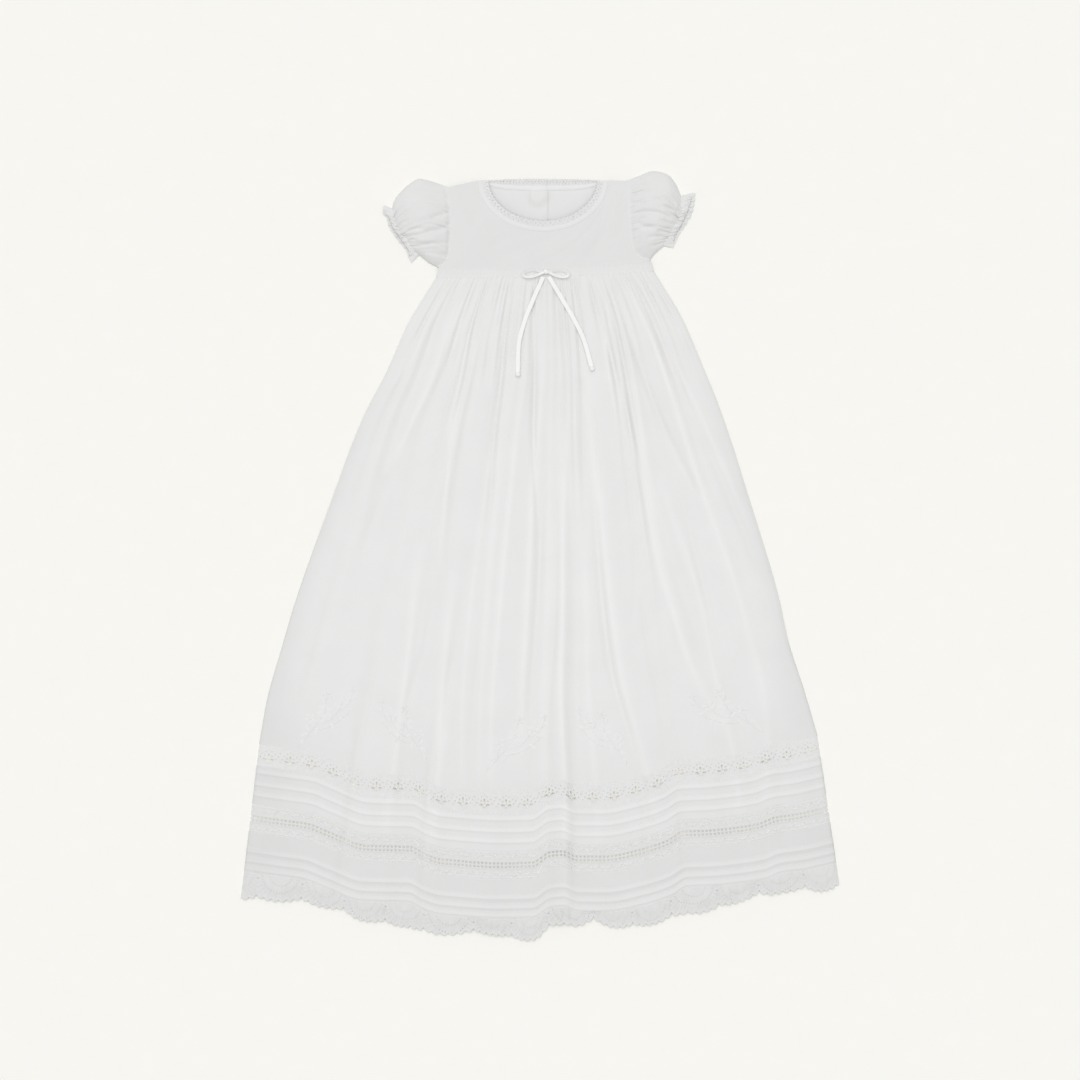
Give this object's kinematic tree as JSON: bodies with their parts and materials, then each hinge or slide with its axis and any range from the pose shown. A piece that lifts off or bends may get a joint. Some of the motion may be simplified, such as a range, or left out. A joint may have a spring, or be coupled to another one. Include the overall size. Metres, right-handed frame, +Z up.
{
  "type": "christening gown",
  "caption": "Long gathered baby gown laid flat, with short puff sleeves, a round lace-edged neck, a ribbon bow at the waist and a tucked hem trimmed with lace.",
  "frame": {"origin": "middle of the gown's outline in plan, on the surface that the gown lies on", "axes": "+X to the viewer's right across the gown, +Y from the hem to the neck, +Z up out of the surface"},
  "size_m": [0.7006, 0.9042, 0.0249],
  "materials": {
    "batiste": "matt fine plain weave",
    "lace": "matt cotton lace",
    "ribbon": "satin",
    "button": "pearl gloss"
  },
  "bodies": {
    "root": {"bodice_front": "batiste", "bodice_back_left": "batiste", "bodice_back_right": "batiste", "neck_binding_front": "batiste", "neck_binding_back_left": "batiste", "neck_binding_back_right": "batiste", "sleeve_left": "batiste", "sleeve_right": "batiste", "waistband_front": "batiste", "waistband_back_left": "batiste", "waistband_back_right": "batiste", "skirt_front": "batiste", "skirt_back": "batiste", "tucks_upper_front": "batiste", "tucks_upper_back": "batiste", "tucks_lower_front": "batiste", "tucks_lower_back": "batiste", "neck_lace_front": "lace", "neck_lace_back_left": "lace", "neck_lace_back_right": "lace", "cuff_frill_left": "lace", "cuff_frill_right": "lace", "insertion_front": "lace", "insertion_back": "lace", "beading_front": "lace", "beading_back": "lace", "hem_lace_front": "lace", "hem_lace_back": "lace", "bow_knot": "ribbon", "bow_loop_left": "ribbon", "bow_loop_right": "ribbon", "ribbon_tail_left": "ribbon", "ribbon_tail_right": "ribbon", "ribbon_knot_left": "ribbon", "ribbon_knot_right": "ribbon", "button_1": "button", "button_2": "button", "button_3": "button"}
  },
  "joints": []
}
